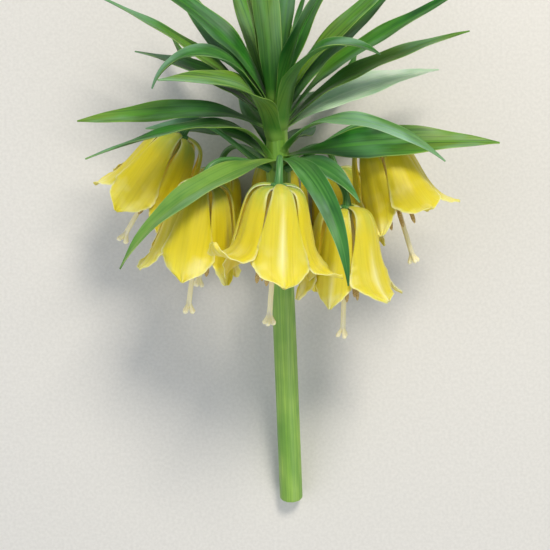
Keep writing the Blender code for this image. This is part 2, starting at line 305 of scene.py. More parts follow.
# Cut pith: wet and pale, with vessels of about 0.8 mm in a darker ring 1 mm under the skin. Its
# rings of colour are spread over 8 mm from the middle.
cut_pith = new_finish("cut_pith")
place = node(cut_pith, "UVMap", uv_map="Grain")
cells = node(cut_pith, "TexVoronoi", {"Vector": place.outputs[0], "Scale": 1 / 0.8})
out = node(cut_pith, "VectorMath", {0: place.outputs[0]}, operation="LENGTH")
share = node(cut_pith, "Math", {0: out.outputs[1], 1: 1 / 8}, operation="MULTIPLY")
ring = node(
    cut_pith,
    "ValToRGB",
    {0: share.outputs[0]},
    stops=(
        (0.0, "#DDE3B4"), (0.62, "#CBD795"), (0.74, "#A9BF68"), (0.84, "#BDCF83"),
        (0.93, "#7E9F45"),
    ),
)
spots = node(cut_pith, "ValToRGB", {0: cells.outputs[0]}, stops=((0.1, 0.35), (0.5, 0.0)))
colour = node(
    cut_pith,
    "Mix",
    {0: spots.outputs[0], 6: ring.outputs[0], 7: linear("#8FAA55")},
    data_type="RGBA",
)
relief = node(cut_pith, "Bump", {"Height": cells.outputs[0], "Strength": 0.4, "Distance": 0.2 * MM})
pith = node(
    cut_pith,
    "BsdfPrincipled",
    {"Base Color": colour.outputs[2], "Roughness": 0.3, "Normal": relief.outputs[0]},
)
node(cut_pith, "OutputMaterial", {"Surface": pith.outputs[0]})

heights = np.linspace(STEM_RADIUS[0][0], STEM_RADIUS[-1][0], STEM_ROWS)
heights = np.concatenate([heights[:1], heights[:1] + CUT_BEVEL[0], heights[1:]])
radii = through(STEM_RADIUS, heights)
radii[0] -= CUT_BEVEL[1]
stalk_part = tube([stem_centre(y) for y in heights], radii, STEM_SIDES, plant, ribs=STEM_RIBS)
# The faces of the two ends come last, the cut end's before the tip's, and the cut shows the pith.
finish_numbers = stalk_part[4]
cut = len(finish_numbers) - 2 * STEM_SIDES
finish_numbers[cut : cut + STEM_SIDES] = [1] * STEM_SIDES
stem = build_piece("cut_stem", [stalk_part], (stem_skin, cut_pith))
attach(stem, "root")
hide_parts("stem")

# ---------------------------------------------------------------- flower stalks
# Each bell hangs from its own short stalk, which leaves the stem under the leaves, arches out and
# turns straight down. It thickens where it joins the stem and again where it carries the bell.
# Where one piece grows from another, their solids stop this far apart.
GAP = 0.35
# Each bell: where its stalk joins it, its lean to the right and to the front, its turn about its
# own axis, how wide it opens, and how far each petal curls out, from the front one round by the
# left.
BELLS = (
    ((0, 0, 62), (-4, 7), -10, 0.0, (38, 156, 4, 0, 2, 74)),
    ((39, -18.5, 33.5), (-1, 5), -38, 0.0, (50, 0, 0, 0, 0, 40)),
    ((-42, -5, 30), (-8, 6), 8, 0.0, (0, 30, 22, 0, 0, 0)),
    ((58.5, 14, -2), (18, 12), -26, 0.0, (60, 0, 0, 0, 26, 50)),
    ((-57, 16, -6), (-31, -2), 24, 0.0, (6, 24, 36, 2, 0, 2)),
    ((37, -13, -51.5), (10.5, 17), 10, -3.0, (0, 0, 0, 0, 2, 0)),
    ((-38, -14, -52), (-11, 17), -10, -2.0, (0, 2, 4, 0, 0, 0)),
    ((0, -8, -51), (0, 18), 33, -5.4, (0, 0, 0, 0, 0, 0)),
)
# The receptacle that carries a bell: its radius and its height. What grows from it sinks in a bit.
RECEPTACLE = (4.2, 2.8)
SINK = 0.2
STALK_FOOT = -1.5
STALK_RADIUS = ((0, 3.0), (0.05, 2.4), (0.15, 2.0), (0.8, 1.9), (0.93, 2.1), (1, 2.6))
# The arch: how far a stalk runs out of the stem, up, and down onto its bell, in shares of its span.
STALK_ARCH = (0.3, 0.12, 0.42)
STALK_ROWS = 49
STALK_SIDES = 20
STALK_RIBS = (5, 0.03)

# Stalk skin: the same sap-filled skin with a bluish bloom of wax, its threads 0.7 mm apart.
stalk_skin = new_finish("stalk_skin")
place = node(stalk_skin, "UVMap", uv_map="Grain")
threads = node(stalk_skin, "Mapping", {"Vector": place.outputs[0], "Scale": (1 / 0.7, 1 / 20, 1)})
lines = node(stalk_skin, "TexNoise", {"Vector": threads.outputs[0], "Scale": 1.0, "Detail": 2.0})
colour = node(
    stalk_skin,
    "ValToRGB",
    {0: lines.outputs[0]},
    stops=((0.35, "#346B2E"), (0.5, "#437C39"), (0.68, "#70A055")),
)
relief = node(
    stalk_skin, "Bump", {"Height": lines.outputs[0], "Strength": 0.3, "Distance": 0.2 * MM}
)
skin = node(
    stalk_skin,
    "BsdfPrincipled",
    {
        "Base Color": colour.outputs[0],
        "Roughness": 0.45,
        "Subsurface Weight": 0.12,
        "Subsurface Radius": (0.8, 1.0, 0.4),
        "Subsurface Scale": 1.5 * MM,
        "Normal": relief.outputs[0],
    },
)
node(stalk_skin, "OutputMaterial", {"Surface": skin.outputs[0]})


def bell_spot(place, lean, turn):
    """The bell's own frame: Z runs from the receptacle to the mouth, and X is the bell's front."""
    right, forward = (math.tan(math.radians(angle)) for angle in lean)
    axis = Vector((right, -1.0, forward)).normalized()
    front = Vector((0, 0, 1))
    front = (front - axis * front.dot(axis)).normalized()
    spot = Matrix((front, axis.cross(front), axis)).transposed().to_4x4()
    spot.translation = Vector(place) * MM
    return plant @ spot @ Matrix.Rotation(math.radians(turn), 4, "Z")


for number, (place, lean, turn, *_) in enumerate(BELLS, 1):
    axis = (plant.inverted() @ bell_spot(place, lean, turn)).to_3x3() @ Vector((0, 0, 1))
    outward = Vector((place[0], 0, place[2])).normalized()
    start = stem_centre(STALK_FOOT) + outward * float(through(STEM_RADIUS, STALK_FOOT) - GAP)
    end = Vector(place) - axis * (RECEPTACLE[1] / 2 - SINK)
    span = (end - start).length
    out, up, down = STALK_ARCH
    first = start + outward * out * span + Vector((0, up * span, 0))
    last = end - axis * down * span
    centres = []
    for t in np.linspace(0, 1, STALK_ROWS):
        s = 1 - t
        centres.append(start * s**3 + first * 3 * s * s * t + last * 3 * s * t * t + end * t**3)
    radii = through(STALK_RADIUS, np.linspace(0, 1, STALK_ROWS))
    part = tube(centres, radii, STALK_SIDES, plant, ribs=STALK_RIBS, shift=31.0 * number)
    stalk = build_piece(f"stalk_{number}", [part], (stalk_skin,))
    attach(stalk, "root")
    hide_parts(f"flower_stalk_{number}")

# ---------------------------------------------------------------- bells
# A bell is six petals hung from a small receptacle, three outer ones over three inner ones, with
# high rounded shoulders, a waist, and a flared mouth whose edges crinkle. Inside, each petal has a
# pale round honey pit at its root.
PETAL_LENGTH = 65.0
PETAL_THICK = 0.8
# How far the outer petals lie outside, and the inner ones inside, the bell's own form.
PETAL_LAYER = 0.7
# Half the width of a petal at each share of its length.
OUTER_HALF_WIDTH = (
    (0, 2.0), (0.1, 4.4), (0.25, 6.9), (0.45, 9.9),
    (0.62, 13.2), (0.76, 15.9), (0.88, 11.2), (1, 0.7),
)
INNER_HALF_WIDTH = (
    (0, 2.0), (0.1, 4.6), (0.3, 8.0), (0.55, 10.0),
    (0.73, 12.2), (0.87, 8.8), (1, 0.7),
)
# The angle between a petal's midline and the bell's axis, from its root to its tip.
PETAL_SLOPE = (
    (0, 94), (0.08, 86), (0.15, 58), (0.22, 30), (0.32, 16), (0.5, 11), (0.72, 10), (1, 17),
)
# How round a petal is across: its radius over its distance from the axis.
PETAL_CURVE = ((0, 1.0), (0.12, 0.75), (0.3, 0.72), (0.55, 0.92), (0.8, 1.25), (1, 1.5))
PETAL_GRID = (72, 24)
# A petal's root is this far from the bell's axis, and its loose lower part starts at this share.
PETAL_ROOT = 2.6
PETAL_LOOSE = 0.55
PETAL_RIPPLE = 1.6
PETAL_RIB = 0.35
# The crinkles of a margin: how far each stands and how long it is.
CRINKLES = ((1.2, 14), (0.6, 5.3))
# A petal pressed on the table keeps this far from it, so that the inner ones lie on the outer.
OUTER_REST = 0.1
INNER_REST = 1.4
# A blade's margin is thinner than its middle by this share.
MARGIN_THINNING = 0.7
# Blades keep every edge smooth but their rims, which turn by more than this.
BLADE_SHARP = 75.0
RECEPTACLE_ROWS = 9
RECEPTACLE_SIDES = 36
RECEPTACLE_RIBS = (6, 0.05)


def layered(finish, colour, layers):
    """A ground colour under layers of tint.

    Each layer gives one or two limits and its tint. A limit is a pattern and the stops that turn it
    into a share, and two limits are multiplied.
    """
    for *limits, tint in layers:
        shares = [node(finish, "ValToRGB", {0: limit[0]}, stops=limit[1:]) for limit in limits]
        share = shares[0].outputs[0]
        if shares[1:]:
            both = node(finish, "Math", {0: share, 1: shares[1].outputs[0]}, operation="MULTIPLY")
            share = both.outputs[0]
        mixed = node(finish, "Mix", {0: share, 6: colour, 7: linear(tint)}, data_type="RGBA")
        colour = mixed.outputs[2]
    return colour


def petal_tissue(name, root, shoulder, body, pale, fold_highlight, mouth, streak, pit):
    """Petal skin: thin, satin and slightly see-through, with veins about 1.3 mm apart that run its
    length, and soft folds 6 mm wide whose raised lines are lighter as a painted highlight. It has
    paler greenish petals among the yellow ones (70 mm patches), a broken cream streak low down its
    middle, whitish seams along its shoulders and cream edges at the mouth."""
    finish = new_finish(name)
    outline_map = node(finish, "UVMap", uv_map="Blade").outputs[0]
    outline = node(finish, "SeparateXYZ", {0: outline_map})
    middle = node(finish, "Math", {0: outline.outputs[0], 1: 0.5}, operation="SUBTRACT")
    aside = node(finish, "Math", {0: middle.outputs[0]}, operation="ABSOLUTE").outputs[0]
    down = outline.outputs[1]
    place = node(finish, "UVMap", uv_map="Grain").outputs[0]
    run = node(finish, "Mapping", {"Vector": place, "Scale": (1 / 1.3, 1 / 55, 1)})
    veins = node(
        finish,
        "TexNoise",
        {"Vector": run.outputs[0], "Scale": 1.0, "Detail": 3.0, "Roughness": 0.6},
    )
    broad = node(finish, "Mapping", {"Vector": place, "Scale": (1 / 6, 1 / 45, 1)})
    folds = node(finish, "TexNoise", {"Vector": broad.outputs[0], "Scale": 1.0, "Detail": 2.0})
    slow = node(finish, "TexNoise", {"Vector": place, "Scale": 1 / 18, "Detail": 2.0})
    tone = node(finish, "TexNoise", {"Vector": place, "Scale": 1 / 70, "Detail": 1.0})
    # The cream streak starts higher up on the paler petals and hardly shows on the deepest ones.
    start = node(finish, "Math", {0: tone.outputs[0], 1: 3.0, 2: down}, operation="MULTIPLY_ADD")
    start = node(finish, "Math", {0: start.outputs[0], 1: 0.3}, operation="MULTIPLY").outputs[0]
    ground = node(
        finish,
        "ValToRGB",
        {0: down},
        stops=((0.1, root), (0.2, shoulder), (0.38, body), (0.7, body), (0.92, mouth)),
    )
    layers = (
        ((tone.outputs[0], (0.47, 0.0), (0.62, 0.45)), pale),
        # Painted highlight: the folds' raised lines, which the relief below also raises, are
        # lighter.
        ((folds.outputs[0], (0.4, 0.0), (0.64, 0.6)), fold_highlight),
        ((veins.outputs[0], (0.36, 0.22), (0.52, 0.0)), "#AEA01E"),
        (
            (aside, (0.0, 0.75), (0.04, 0.4), (0.11, 0.0)),
            (start, (0.67, 0.0), (0.76, 0.5), (0.84, 0.9)),
            streak,
        ),
        ((slow.outputs[0], (0.48, 0.0), (0.68, 0.5)), (down, (0.6, 0.0), (0.95, 1.0)), streak),
        (
            (aside, (0.38, 0.0), (0.48, 0.75)),
            (down, (0.06, 0.9), (0.2, 0.6), (0.36, 0.0)),
            "#E4E8C4",
        ),
        ((aside, (0.44, 0.0), (0.495, 0.7)), (down, (0.5, 0.0), (0.75, 0.8)), streak),
    )
    colour = layered(finish, ground.outputs[0], layers)
    if pit:
        # The honey pit: a pearly drop about 5 mm across with a darker rim, 10 mm from the root,
        # where the petal is 11 mm wide.
        drop = node(
            finish,
            "VectorMath",
            {0: outline_map, 1: (11, PETAL_LENGTH, 0), 2: (-11 / 2, -10, 0)},
            operation="MULTIPLY_ADD",
        )
        far = node(finish, "VectorMath", {0: drop.outputs[0]}, operation="LENGTH")
        size = node(finish, "Math", {0: far.outputs[1], 1: 1 / 5}, operation="MULTIPLY").outputs[0]
        inside = node(finish, "ValToRGB", {0: size}, stops=((0.42, "#EEF0D8"), (0.56, "#8A9148")))
        share = node(finish, "ValToRGB", {0: size}, stops=((0.6, 1.0), (0.8, 0.0)))
        mixed = node(
            finish,
            "Mix",
            {0: share.outputs[0], 6: colour, 7: inside.outputs[0]},
            data_type="RGBA",
        )
        colour = mixed.outputs[2]
    height = node(
        finish,
        "Math",
        {0: folds.outputs[0], 1: 2.0, 2: veins.outputs[0]},
        operation="MULTIPLY_ADD",
    )
    relief = node(
        finish, "Bump", {"Height": height.outputs[0], "Strength": 0.5, "Distance": 0.4 * MM}
    )
    skin = node(
        finish,
        "BsdfPrincipled",
        {
            "Base Color": colour,
            "Roughness": 0.46,
            "IOR": 1.4,
            "Subsurface Weight": 0.5,
            "Subsurface Radius": (0.9, 0.75, 0.08),
            "Subsurface Scale": 2.5 * MM,
            "Sheen Weight": 0.06,
            "Normal": relief.outputs[0],
        },
    )
    node(finish, "OutputMaterial", {"Surface": skin.outputs[0]})
    return finish


petal_outside = petal_tissue(
    "petal_outside",
    root="#7F9C48", shoulder="#9FAC3A", body="#CFBE12", pale="#CDC74C",
    fold_highlight="#DAC824", mouth="#DFD23C", streak="#F3EFC0", pit=False,
)
petal_inside = petal_tissue(
    "petal_inside",
    root="#A2AC4A", shoulder="#C4BA30", body="#DCC222", pale="#DDCC5C",
    fold_highlight="#E0CA3A", mouth="#E1D04A", streak="#EADF8C", pit=True,
)


def clear_of_table(points, rest):
    """A soft blade pressed on the table lies along it, its middle at the height of rest."""
    give = 1.2 * MM
    raised = points.copy()
    raised[..., 2] = rest * MM + give * np.logaddexp(0, (points[..., 2] - rest * MM) / give)
    return raised


def blade(points, thick, outline, grain):
    """A thin closed blade round rows of points, thinner toward its margins: its points, faces,
    their maps and finish numbers. Its outside, with the first finish, is where the rows' left and
    forward cross."""
    rows, columns = points.shape[:2]
    out = np.cross(np.gradient(points, axis=1), np.gradient(points, axis=0))
    out /= np.linalg.norm(out, axis=2)[..., None]
    w = np.linspace(-1, 1, columns)
    half = thick * MM / 2 * (1 - MARGIN_THINNING * np.abs(w) ** 5)
    shell = [points + out * half[None, :, None], points - out * half[None, :, None]]
    corners = np.concatenate([side.reshape(-1, 3) for side in shell])
    under = rows * columns
    number = np.arange(under).reshape(rows, columns)
    a, b, c, d = number[:-1, :-1], number[:-1, 1:], number[1:, 1:], number[1:, :-1]
    top = np.stack([a, b, c, d], axis=-1).reshape(-1, 4)
    rims = []
    for line in (number[:, 0][::-1], number[:, -1], number[0], number[-1][::-1]):
        rims.append(np.stack([line[1:], line[:-1], line[:-1] + under, line[1:] + under], axis=-1))
    rim = np.concatenate(rims)
    faces = np.concatenate([top, top[:, ::-1] + under, rim])
    outline = np.tile(outline.reshape(-1, 2), (2, 1))
    grain = np.tile(grain.reshape(-1, 2), (2, 1))
    finish = [0] * len(top) + [1] * len(top) + [0] * len(rim)
    loops = faces.ravel()
    return corners, faces.tolist(), outline[loops], grain[loops], finish


def blade_map(across, down, shape):
    """A map over a blade's whole grid, from its places across and its places down."""
    return np.stack([np.broadcast_to(across, shape), np.broadcast_to(down, shape)], axis=-1)


def petal_rows(outer, curl, opening, wave, shift):
    """Rows of points across one petal that hangs at the bell's front, and its two maps."""
    rows, columns = PETAL_GRID[0] + 1, PETAL_GRID[1] + 1
    layer = PETAL_LAYER if outer else -PETAL_LAYER
    t = np.linspace(0, 1, rows)
    mid = (t[1:] + t[:-1]) / 2
    step = PETAL_LENGTH / PETAL_GRID[0]
    slope = through(PETAL_SLOPE, mid) + opening * np.minimum(mid * 4, 1)
    slope = np.radians(slope + curl * np.maximum(0, (mid - 0.5) / 0.5) ** 1.5)
    reach = PETAL_ROOT + np.concatenate([[0], np.cumsum(np.sin(slope))]) * step
    depth = np.concatenate([[0], np.cumsum(np.cos(slope))]) * step
    slope = np.concatenate([slope[:1], slope])[:, None]
    half = through(OUTER_HALF_WIDTH if outer else INNER_HALF_WIDTH, t)[:, None]
    round_by = (np.maximum(reach, 4.0) * through(PETAL_CURVE, t))[:, None]
    t, reach, depth = t[:, None], reach[:, None], depth[:, None]
    w = np.linspace(-1, 1, columns)[None, :]
    angle = w * half / round_by
    out = round_by * (np.cos(angle) - 1)
    loose = np.maximum(0, (t - PETAL_LOOSE) / (1 - PETAL_LOOSE))
    ripple = PETAL_RIPPLE * loose * w**2 * np.sin(6.3 * (2.2 * t + wave) + 1.5 * w)
    # Finer form: a low rib down the middle between two furrows, and margins that crinkle and are
    # notched by 4.5 percent every 8.3 and 3.1 mm, and by 5 percent every 31 mm.
    turns = 2 * np.pi
    lower = np.clip((t - 0.3) / 0.3, 0, 1)
    sway = 0.06 * np.sin(5 * t + 9 * wave)
    ribs = PETAL_RIB * lower * np.cos(turns * (w + sway) / 0.8) * (1 - w**4)
    along = t * PETAL_LENGTH + 40 * wave + 9 * np.sign(w)
    crinkle = sum(stand * np.sin(turns * along / length) for stand, length in CRINKLES)
    crinkle = crinkle * loose**0.6 * (1 - t) ** 0.25 * np.abs(w) ** 3
    notch = np.sin(turns * (along / 8.3 + 0.2)) + np.sin(turns * (along / 3.1 + wave)) / 2
    notch = 0.045 * np.abs(w) ** 3 * notch + 0.05 * np.sin(turns * along / 31)
    angle = angle * (1 + loose * notch)
    lift = layer + ripple + ribs + crinkle
    points = np.stack(
        [
            reach + (out + lift) * np.cos(slope),
            round_by * np.sin(angle),
            depth - (out + lift) * np.sin(slope),
        ],
        axis=-1,
    )
    outline = blade_map((w + 1) / 2, t, angle.shape)
    grain = blade_map(w * half + shift, t * PETAL_LENGTH + shift, angle.shape)
    return points, outline, grain


for number, (place, lean, turn, opening, curls) in enumerate(BELLS, 1):
    spot = bell_spot(place, lean, turn)
    radius, height = RECEPTACLE
    depths = np.linspace(-height / 2, height / 2, RECEPTACLE_ROWS)
    radii = radius * np.sqrt(1 - 0.72 * (depths / (height / 2)) ** 4)
    centres = [(0, 0, d) for d in depths]
    parts = [tube(centres, radii, RECEPTACLE_SIDES, spot, slot=2, ribs=RECEPTACLE_RIBS)]
    for k, curl in enumerate(curls):
        outer = k % 2 == 0
        wave = 0.37 * k + 0.21 * (number - 1)
        # Each petal takes its own stretch of the patterns.
        rows, outline, grain = petal_rows(outer, curl, opening, wave, 700 + 430 * number + 71 * k)
        rows = placed(rows, spot @ Matrix.Rotation(math.radians(60 * k), 4, "Z"))
        rows = clear_of_table(rows, PETAL_THICK / 2 + (OUTER_REST if outer else INNER_REST))
        parts.append(blade(rows, PETAL_THICK, outline, grain))
    finishes = (petal_outside, petal_inside, stalk_skin)
    bell = build_piece(f"bell_{number}", parts, finishes, sharp=BLADE_SHARP)
    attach(bell, "root")
    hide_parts(f"bloom_{number}")

# ---------------------------------------------------------------- stamens and style
# Six fine stamens stand round a long style in each bell. The style grows from a green seed case,
# hangs out of the mouth and ends in three velvety lobes that spread apart.
STYLE_LENGTH = 76.0
# The radius of the seed case and of the style that grows from it, at each depth.
SEED_CASE = ((0, 2.7), (3, 2.9), (8, 2.6), (11, 1.8), (15, 1.4), (40, 1.4), (68, 1.5), (78, 1.7))
STYLE_ROWS = 60
STYLE_SIDES = 18
STYLE_RIBS = (3, 0.08)
# Each limb's line, as distances from the bell's axis and depths, and its radius from foot to tip.
LOBES = 3
LOBE_LINE = ((0.4, -7), (0.9, -4.6), (1.9, -2.2), (3.4, 0.5))
LOBE_RADIUS = ((0, 0.9), (0.4, 1.05), (0.75, 1.35), (0.93, 1.3), (1, 0.6))
LOBE_SPREAD = 5
STAMENS = 6
THREAD_LINE = ((1.9, 2.4), (5.2, 14), (6.8, 26), (7.3, 35), (7.6, 44))
THREAD_RADIUS = ((0, 0.8), (0.3, 0.6), (0.9, 0.5), (1, 0.35))
ANTHER_LINE = ((7.5, 42.5), (7.8, 47), (8.2, 52.4))
ANTHER_RADIUS = ((0, 0.5), (0.12, 1.1), (0.5, 1.3), (0.88, 1.0), (1, 0.35))
# How many cells a thread, or a lobe or a husk, has along it, and how many sides round it.
THREAD_GRID = (24, 10)
LOBE_GRID = (20, 12)

# Style flesh: matt cream, greener toward the seed case, its velvet drawn as 0.4 mm grains.
style_flesh = new_finish("style_flesh")
down = node(
    style_flesh, "SeparateXYZ", {0: node(style_flesh, "UVMap", uv_map="Blade").outputs[0]}
).outputs[1]
place = node(style_flesh, "UVMap", uv_map="Grain").outputs[0]
velvet = node(style_flesh, "TexNoise", {"Vector": place, "Scale": 1 / 0.4, "Detail": 2.0})
ground = node(
    style_flesh,
    "ValToRGB",
    {0: down},
    stops=((0.0, "#8FA957"), (0.14, "#A9B868"), (0.24, "#EADE9C"), (1.0, "#FBF2C8")),
)
shade = node(style_flesh, "ValToRGB", {0: velvet.outputs[0]}, stops=((0.35, 0.25), (0.6, 0.0)))
colour = node(
    style_flesh,
    "Mix",
    {0: shade.outputs[0], 6: ground.outputs[0], 7: linear("#DCC884")},
    data_type="RGBA",
)
relief = node(
    style_flesh, "Bump", {"Height": velvet.outputs[0], "Strength": 0.5, "Distance": 0.2 * MM}
)
flesh = node(
    style_flesh,
    "BsdfPrincipled",
    {
        "Base Color": colour.outputs[2],
        "Roughness": 0.6,
        "Subsurface Weight": 0.25,
        "Subsurface Radius": (1.0, 0.9, 0.3),
        "Subsurface Scale": 1.2 * MM,
        "Normal": relief.outputs[0],
    },
)
node(style_flesh, "OutputMaterial", {"Surface": flesh.outputs[0]})

# Anther: a dry husk dusted with pollen grains, drawn 0.5 mm wide so that they show.
pollen = new_finish("pollen_husk")
place = node(pollen, "UVMap", uv_map="Grain").outputs[0]
dust = node(pollen, "TexNoise", {"Vector": place, "Scale": 1 / 0.5, "Detail": 3.0})
colour = node(
    pollen,
    "ValToRGB",
    {0: dust.outputs[0]},
    stops=((0.35, "#9A7A3A"), (0.5, "#C9A860"), (0.68, "#E8D49A")),
)
relief = node(pollen, "Bump", {"Height": dust.outputs[0], "Strength": 0.7, "Distance": 0.3 * MM})
husk = node(
    pollen,
    "BsdfPrincipled",
    {"Base Color": colour.outputs[0], "Roughness": 0.85, "Normal": relief.outputs[0]},
)
node(pollen, "OutputMaterial", {"Surface": husk.outputs[0]})


def limb(line, radius, grid, bearing, base, spot, **look):
    """A tapering round limb beside a bell's axis, at a bearing, its depths counted from a base."""
    cells, sides = grid
    t = np.linspace(0, 1, cells + 1)
    at = np.linspace(0, 1, len(line))
    reach, depth = (through(list(zip(at, values)), t) for values in zip(*line))
    side = math.radians(bearing)
    centres = [(r * math.cos(side), r * math.sin(side), base + d) for r, d in zip(reach, depth)]
    return tube(centres, through(radius, t), sides, spot, **look)


def recoloured(part, first, share):
    """The part with one stretch of the colours that run from the seed case to the lobes."""
    part[2][:] = [(u, first + share * v) for u, v in part[2]]
    return part


for number, (place, lean, turn, *_) in enumerate(BELLS, 1):
    spot = bell_spot(place, lean, turn)
    top = RECEPTACLE[1] / 2 - SINK
    depths = np.linspace(0, STYLE_LENGTH - LOBE_SPREAD - top, STYLE_ROWS)
    centres = [(0, 0, top + d) for d in depths]
    parts = [tube(centres, through(SEED_CASE, depths), STYLE_SIDES, spot, ribs=STYLE_RIBS)]
    for k in range(LOBES):
        way = (LOBE_GRID, 360 / LOBES * k + 20, STYLE_LENGTH, spot)
        lobe = limb(LOBE_LINE, LOBE_RADIUS, *way, ribs=(2, 0.12), shift=7.0 * k)
        parts.append(recoloured(lobe, 0.8, 0.2))
    for k in range(STAMENS):
        bearing = 360 / STAMENS * k + 30
        thread = limb(THREAD_LINE, THREAD_RADIUS, THREAD_GRID, bearing, top, spot, shift=5.0 * k)
        parts.append(recoloured(thread, 0.2, 0.6))
        way = (LOBE_GRID, bearing, top, spot)
        husk = limb(ANTHER_LINE, ANTHER_RADIUS, *way, slot=1, ribs=(2, 0.18), shift=9.0 * k)
        parts.append(husk)
    stamens = build_piece(f"stamens_{number}", parts, (style_flesh, pollen))
    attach(stamens, "root")
    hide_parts(f"stamens_and_style_{number}")

# ---------------------------------------------------------------- umbel leaves
# Long leaves stand out just above the flower stalks and hang over the bells. Each is a strap-like
# blade, channelled along its middle, glossy above and waxy blue-green below, with a pale margin.
LEAF_THICK = 0.9
# A leaf's width at each share of its length, as a share of its full width.
LEAF_OUTLINE = (
    (0, 0.34), (0.12, 0.56), (0.3, 0.92), (0.42, 1.0), (0.62, 0.88), (0.82, 0.5), (1, 0.05),
)
# How far the sides of the channel stand over its middle, as a share of half the width.
LEAF_CHANNEL = 0.30
LEAF_GRID = (88, 16)
# A leaf starts this much further out than the gap alone would put it.
LEAF_CLEAR = 0.05
# The most that a blade twists toward its tip, in degrees.
LEAF_TWIST = 40
# Low pleats along a blade, how many and how high, and waves of its margin, how high and how long.
PLEATS = (7, 0.15)
WAVES = (0.8, 35)
# The foot clasps the stem over this share of the leaf, wider by this share, round this radius.
CLASP = (0.12, 0.35, 6.5)
# Then four rows run down the stem: how far down each lies, how deep in, and how narrow it is.
FOOT_ROWS = ((6.0, 2.6, 0.45), (4.4, 1.7, 0.7), (2.8, 1.1, 0.88), (1.3, 0.5, 0.97))
# Each leaf: its bearing and height on the stem, its length and width, how steeply it rises at
# its foot, at a third and at its tip, how far it swings round, and how far its blade rolls.
UMBEL_LEAVES = (
    (-24, 3.5, 126, 17, (8, -10, -62), -70, -20),
    (17, 3.5, 114, 12.5, (17, -12, -86), 20, 30),
    (38, 2.5, 60, 15, (16, -4, -52), 26, 25),
    (40, 10.0, 112, 12, (50, 16, -38), 36, 20),
    (70, 5.5, 122, 21.5, (15, 8, -2), 18, 55),
    (-45, 5.5, 122, 12, (58, 12, -20), -30, -20),
    (-118, 4.0, 90, 16, (40, 12, -10), 0, -20),
    (158, 5.0, 60, 13, (40, 4, 10), 0, 0),
    (-160, 5.0, 75, 14, (45, 20, 40), 0, 0),
)


def leaf_skin(name, foot, deep, body, painted_sunlight, vein, wax_and_sheen, margin, gloss):
    """Leaf skin: parallel veins about 1.5 mm apart run its whole length over slow patches of
    deeper green 25 mm long. Yellower patches some 120 mm long are painted sunlight shining
    through the blade. Bluish-silver drifts 60 mm long, most of them toward the tip, are partly a
    thin wax and partly a painted sheen. The groove down the middle is lighter and the margin is a
    thin broken pale line. The foot is evenly green and ends in the stem's own light green."""
    finish = new_finish(name)
    outline = node(finish, "SeparateXYZ", {0: node(finish, "UVMap", uv_map="Blade").outputs[0]})
    middle = node(finish, "Math", {0: outline.outputs[0], 1: 0.5}, operation="SUBTRACT")
    aside = node(finish, "Math", {0: middle.outputs[0]}, operation="ABSOLUTE").outputs[0]
    down = outline.outputs[1]
    place = node(finish, "UVMap", uv_map="Grain").outputs[0]

    # Five patterns, from fine to slow: their size across and along the leaf, and their detail.
    patterns = []
    sizes = ((1.5, 90, 3), (4.5, 70, 2), (14, 25, 2), (16, 60, 3), (90, 120, 1))
    for across, along, detail in sizes:
        run = node(finish, "Mapping", {"Vector": place, "Scale": (1 / across, 1 / along, 1)})
        noise = {"Vector": run.outputs[0], "Scale": 1.0, "Detail": detail}
        patterns.append(node(finish, "TexNoise", noise).outputs[0])
    veins, wide, patches, bloom_and_sheen, sunlight_patches = patterns
    ground = node(finish, "ValToRGB", {0: patches}, stops=((0.36, deep), (0.62, body)))
    layers = (
        # Painted sunlight: yellower patches that stand in for light shining through the blade.
        ((sunlight_patches, (0.47, 0.0), (0.62, 0.75)), painted_sunlight),
        ((wide, (0.44, 0.0), (0.7, 0.5)), vein),
        ((veins, (0.36, 0.65), (0.52, 0.0)), deep),
        # Wax bloom and painted sheen: bluish-silver drifts, most of them toward the tip.
        ((bloom_and_sheen, (0.48, 0.0), (0.64, 0.6)), (down, (0.15, 0.1), (0.4, 0.4), (0.8, 1.0)), wax_and_sheen),
        ((aside, (0.0, 0.5), (0.03, 0.25), (0.08, 0.0)), vein),
        ((aside, (0.465, 0.0), (0.495, 0.6)), (wide, (0.4, 0.15), (0.6, 1.0)), margin),
        ((down, (0.04, 0.8), (0.2, 0.0)), foot),
        ((down, (0.0, 0.85), (0.06, 0.0)), "#7FA648"),
    )
    colour = layered(finish, ground.outputs[0], layers)
    dull = node(finish, "ValToRGB", {0: bloom_and_sheen}, stops=((0.45, gloss), (0.7, gloss + 0.15)))
    relief = node(finish, "Bump", {"Height": veins, "Strength": 0.5, "Distance": 0.3 * MM})
    skin = node(
        finish,
        "BsdfPrincipled",
        {
            "Base Color": colour,
            "Roughness": dull.outputs[0],
            "IOR": 1.38,
            "Subsurface Weight": 0.1,
            "Subsurface Radius": (0.5, 1.0, 0.15),
            "Subsurface Scale": 1.5 * MM,
            "Normal": relief.outputs[0],
        },
    )
    node(finish, "OutputMaterial", {"Surface": skin.outputs[0]})
    return finish


leaf_above = leaf_skin(
    "leaf_upper_skin",
    foot="#33701F", deep="#124410", body="#276E18", painted_sunlight="#76982E",
    vein="#50922A", wax_and_sheen="#82AE8C", margin="#A5C060", gloss=0.42,
)
leaf_below = leaf_skin(
    "leaf_under_skin",
    foot="#44812A", deep="#1F571D", body="#387A29", painted_sunlight="#7D9C3C",
    vein="#649C40", wax_and_sheen="#92B89C", margin="#A9C470", gloss=0.44,
)
# The first hanging leaf gets a lighter yellowish-green copy of the skin: painted light, where the
# sun shines on and through it.
leaf_painted_light = leaf_skin(
    "leaf_painted_light_skin",
    foot="#7FA648", deep="#4C7E32", body="#6F9A40", painted_sunlight="#94A84A",
    vein="#86A44A", wax_and_sheen="#9CBA9C", margin="#B4C76E", gloss=0.4,
)
